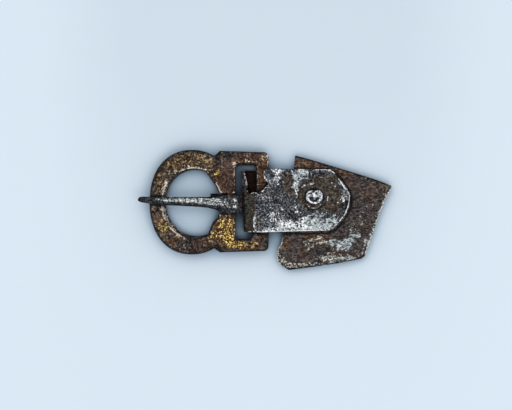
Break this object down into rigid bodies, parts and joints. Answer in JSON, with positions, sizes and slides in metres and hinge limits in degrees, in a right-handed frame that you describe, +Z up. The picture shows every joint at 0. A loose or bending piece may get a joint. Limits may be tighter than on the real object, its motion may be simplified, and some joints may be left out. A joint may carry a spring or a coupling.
{
  "type": "belt buckle",
  "caption": "Old iron belt buckle: oval ring with a slotted loop plate, wrapped tongue, and folded sheet plate riveted over a torn scrap of backing plate.",
  "frame": {"origin": "middle of the whole object in plan, on the surface that it lies on", "axes": "+X from the tongue's tip towards the belt end, +Y across the belt, +Z up out of the buckle's face"},
  "size_m": [0.076, 0.0362, 0.006],
  "materials": {
    "gilded_iron": "dark brown iron patina with worn specks of gilding",
    "worn_iron": "dark grey iron with a bright worn ridge",
    "pitted_sheet": "pitted grey-brown sheet with silvery specks and pale corrosion",
    "brown_sheet": "dark brown patina with pale grey-green patches",
    "bright_rivet": "bright hammered metal with dark pits"
  },
  "bodies": {
    "frame": {"frame": "gilded_iron"},
    "tongue": {"tongue": "worn_iron"},
    "plate": {"buckle_plate": "pitted_sheet", "rivet_washer": "pitted_sheet", "rivet": "bright_rivet"},
    "backing": {"backing_plate": "brown_sheet"}
  },
  "joints": [
    {"name": "tongue_hinge", "type": "hinge", "parent": "frame", "child": "tongue", "pos_m": [-0.01032, 0.00183, 0.00285], "axis": [0, 1, 0], "range_deg": [0, 100]},
    {"name": "plate_hinge", "type": "hinge", "parent": "frame", "child": "plate", "pos_m": [-0.00078, 0.00271, 0.00285], "axis": [0, -1, 0], "range_deg": [-90, 90]},
    {"name": "backing_swivel", "type": "hinge", "parent": "plate", "child": "backing", "pos_m": [0.01479, 0.00391, 0.00215], "axis": [0, 0, 1], "range_deg": [-6, 40]}
  ]
}
